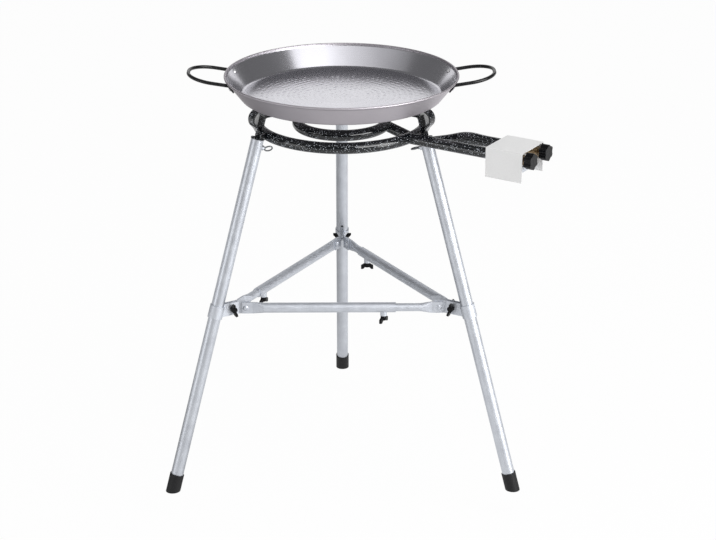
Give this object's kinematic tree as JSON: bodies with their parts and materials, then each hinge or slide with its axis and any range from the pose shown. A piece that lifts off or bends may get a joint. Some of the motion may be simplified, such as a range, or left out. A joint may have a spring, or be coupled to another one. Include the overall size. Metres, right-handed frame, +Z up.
{
  "type": "paella burner",
  "caption": "Polished steel paella pan on a gas burner with concentric rings, a tap shield and knobs, carried by a tripod of tube legs tied by a telescopic brace.",
  "frame": {"origin": "the point of the floor under the burner's axis", "axes": "+Z up along the burner's axis; +Y away from the viewer of the picture, towards the back leg; +X to the viewer's right, along the line through the pan's two handles"},
  "size_m": [0.7539, 0.67, 0.8189],
  "materials": {
    "pan_steel": "polished sheet steel, satin outside",
    "handle_black": "black coated steel rod",
    "speckled_enamel": "glossy black enamel with fine white speckles",
    "shield_white": "white painted sheet",
    "brass": "machined brass",
    "zinc": "bright zinc plated steel",
    "knob_black": "moulded black plastic",
    "foot_black": "black cap"
  },
  "bodies": {
    "burner": {"outer_ring": "speckled_enamel", "inner_ring": "speckled_enamel", "outer_feed_tube": "speckled_enamel", "inner_feed_tube": "speckled_enamel", "pan_support_left": "speckled_enamel", "pan_support_right": "speckled_enamel", "pan_support_back": "speckled_enamel", "tap_shield": "shield_white", "shield_screws": "zinc", "outer_valve": "brass", "inner_valve": "brass", "outer_jet": "brass", "inner_jet": "brass", "gas_manifold": "zinc", "hose_tail": "brass"},
    "pan_set": {"pan": "pan_steel", "pan_handle_left": "handle_black", "pan_handle_right": "handle_black", "pan_rivets": "pan_steel"},
    "outer_tap": {"outer_tap_stem": "brass", "outer_tap_knob": "knob_black"},
    "inner_tap": {"inner_tap_stem": "brass", "inner_tap_knob": "knob_black"},
    "left_leg": {"leg_left": "zinc", "foot_left": "foot_black"},
    "left_leg_screw": {"leg_screw_left": "zinc"},
    "left_corner": {"clamp_left": "zinc", "clamp_stud_left": "zinc", "brace_rivets_left": "zinc", "brace_outer_front": "zinc", "brace_inner_left": "zinc"},
    "left_wing_a": {"wing_knob_left_a": "knob_black"},
    "left_wing_b": {"wing_knob_left_b": "knob_black"},
    "front_lock": {"lock_knob_front": "knob_black"},
    "right_leg": {"leg_right": "zinc", "foot_right": "foot_black"},
    "right_leg_screw": {"leg_screw_right": "zinc"},
    "right_corner": {"clamp_right": "zinc", "clamp_stud_right": "zinc", "brace_rivets_right": "zinc", "brace_outer_right": "zinc", "brace_inner_front": "zinc"},
    "right_wing_a": {"wing_knob_right_a": "knob_black"},
    "right_wing_b": {"wing_knob_right_b": "knob_black"},
    "right_lock": {"lock_knob_right": "knob_black"},
    "back_leg": {"leg_back": "zinc", "foot_back": "foot_black"},
    "back_leg_screw": {"leg_screw_back": "zinc"},
    "back_corner": {"clamp_back": "zinc", "clamp_stud_back": "zinc", "brace_rivets_back": "zinc", "brace_outer_left": "zinc", "brace_inner_right": "zinc"},
    "back_wing_a": {"wing_knob_back_a": "knob_black"},
    "back_wing_b": {"wing_knob_back_b": "knob_black"},
    "left_lock": {"lock_knob_left": "knob_black"}
  },
  "joints": [
    {"name": "pan_lift", "type": "slide", "parent": "burner", "child": "pan_set", "axis": [0, 0, 1], "range_m": [0, 0.15]},
    {"name": "outer_tap_turn", "type": "hinge", "parent": "burner", "child": "outer_tap", "pos_m": [0.33781, -0.23655, 0.712], "axis": [0.8434, -0.5373, 0], "range_deg": [0, 180]},
    {"name": "inner_tap_turn", "type": "hinge", "parent": "burner", "child": "inner_tap", "pos_m": [0.37112, -0.18426, 0.712], "axis": [0.8434, -0.5373, 0], "range_deg": [0, 180]},
    {"name": "left_leg_slide", "type": "slide", "parent": "burner", "child": "left_leg", "axis": [-0.2431, -0.1403, -0.9598], "range_m": [0, 0.055]},
    {"name": "left_leg_screw_turn", "type": "hinge", "parent": "left_leg", "child": "left_leg_screw", "pos_m": [-0.16627, -0.09599, 0.69264], "axis": [0.8312, 0.4799, -0.2807], "range_deg": [0, 360]},
    {"name": "left_corner_slide", "type": "slide", "parent": "left_leg", "child": "left_corner", "axis": [-0.2431, -0.1403, -0.9598], "range_m": [-0.035, 0.2]},
    {"name": "left_wing_a_turn", "type": "hinge", "parent": "left_corner", "child": "left_wing_a", "pos_m": [-0.21904, -0.12646, 0.368], "axis": [0.5, -0.866, 0], "range_deg": [0, 360]},
    {"name": "left_wing_b_turn", "type": "hinge", "parent": "left_corner", "child": "left_wing_b", "pos_m": [-0.21904, -0.12646, 0.368], "axis": [-0.5, 0.866, 0], "range_deg": [0, 360]},
    {"name": "front_lock_turn", "type": "hinge", "parent": "left_corner", "child": "front_lock", "pos_m": [0.08176, -0.12496, 0.368], "axis": [0, 0, -1], "range_deg": [0, 360]},
    {"name": "right_leg_slide", "type": "slide", "parent": "burner", "child": "right_leg", "axis": [0.2431, -0.1403, -0.9598], "range_m": [0, 0.055]},
    {"name": "right_leg_screw_turn", "type": "hinge", "parent": "right_leg", "child": "right_leg_screw", "pos_m": [0.16627, -0.09599, 0.69264], "axis": [-0.8312, 0.4799, -0.2807], "range_deg": [0, 360]},
    {"name": "right_corner_slide", "type": "slide", "parent": "right_leg", "child": "right_corner", "axis": [0.2431, -0.1403, -0.9598], "range_m": [-0.035, 0.2]},
    {"name": "right_wing_a_turn", "type": "hinge", "parent": "right_corner", "child": "right_wing_a", "pos_m": [0.21904, -0.12646, 0.368], "axis": [0.5, 0.866, 0], "range_deg": [0, 360]},
    {"name": "right_wing_b_turn", "type": "hinge", "parent": "right_corner", "child": "right_wing_b", "pos_m": [0.21904, -0.12646, 0.368], "axis": [-0.5, -0.866, 0], "range_deg": [0, 360]},
    {"name": "right_lock_turn", "type": "hinge", "parent": "right_corner", "child": "right_lock", "pos_m": [0.05284, 0.1584, 0.368], "axis": [0, 0, -1], "range_deg": [0, 360]},
    {"name": "back_leg_slide", "type": "slide", "parent": "burner", "child": "back_leg", "axis": [0, 0.2807, -0.9598], "range_m": [0, 0.055]},
    {"name": "back_leg_screw_turn", "type": "hinge", "parent": "back_leg", "child": "back_leg_screw", "pos_m": [0, 0.19199, 0.69264], "axis": [0, -0.9598, -0.2807], "range_deg": [0, 360]},
    {"name": "back_corner_slide", "type": "slide", "parent": "back_leg", "child": "back_corner", "axis": [0, 0.2807, -0.9598], "range_m": [-0.035, 0.2]},
    {"name": "back_wing_a_turn", "type": "hinge", "parent": "back_corner", "child": "back_wing_a", "pos_m": [0, 0.25292, 0.368], "axis": [-1, 0, 0], "range_deg": [0, 360]},
    {"name": "back_wing_b_turn", "type": "hinge", "parent": "back_corner", "child": "back_wing_b", "pos_m": [0, 0.25292, 0.368], "axis": [1, 0, 0], "range_deg": [0, 360]},
    {"name": "left_lock_turn", "type": "hinge", "parent": "back_corner", "child": "left_lock", "pos_m": [-0.1596, -0.02651, 0.368], "axis": [0, 0, -1], "range_deg": [0, 360]}
  ],
  "couplings": [
    {"joint": "right_leg_slide", "follows": "left_leg_slide", "ratio": 1},
    {"joint": "back_leg_slide", "follows": "left_leg_slide", "ratio": 1},
    {"joint": "right_corner_slide", "follows": "left_corner_slide", "ratio": 1},
    {"joint": "back_corner_slide", "follows": "left_corner_slide", "ratio": 1}
  ]
}
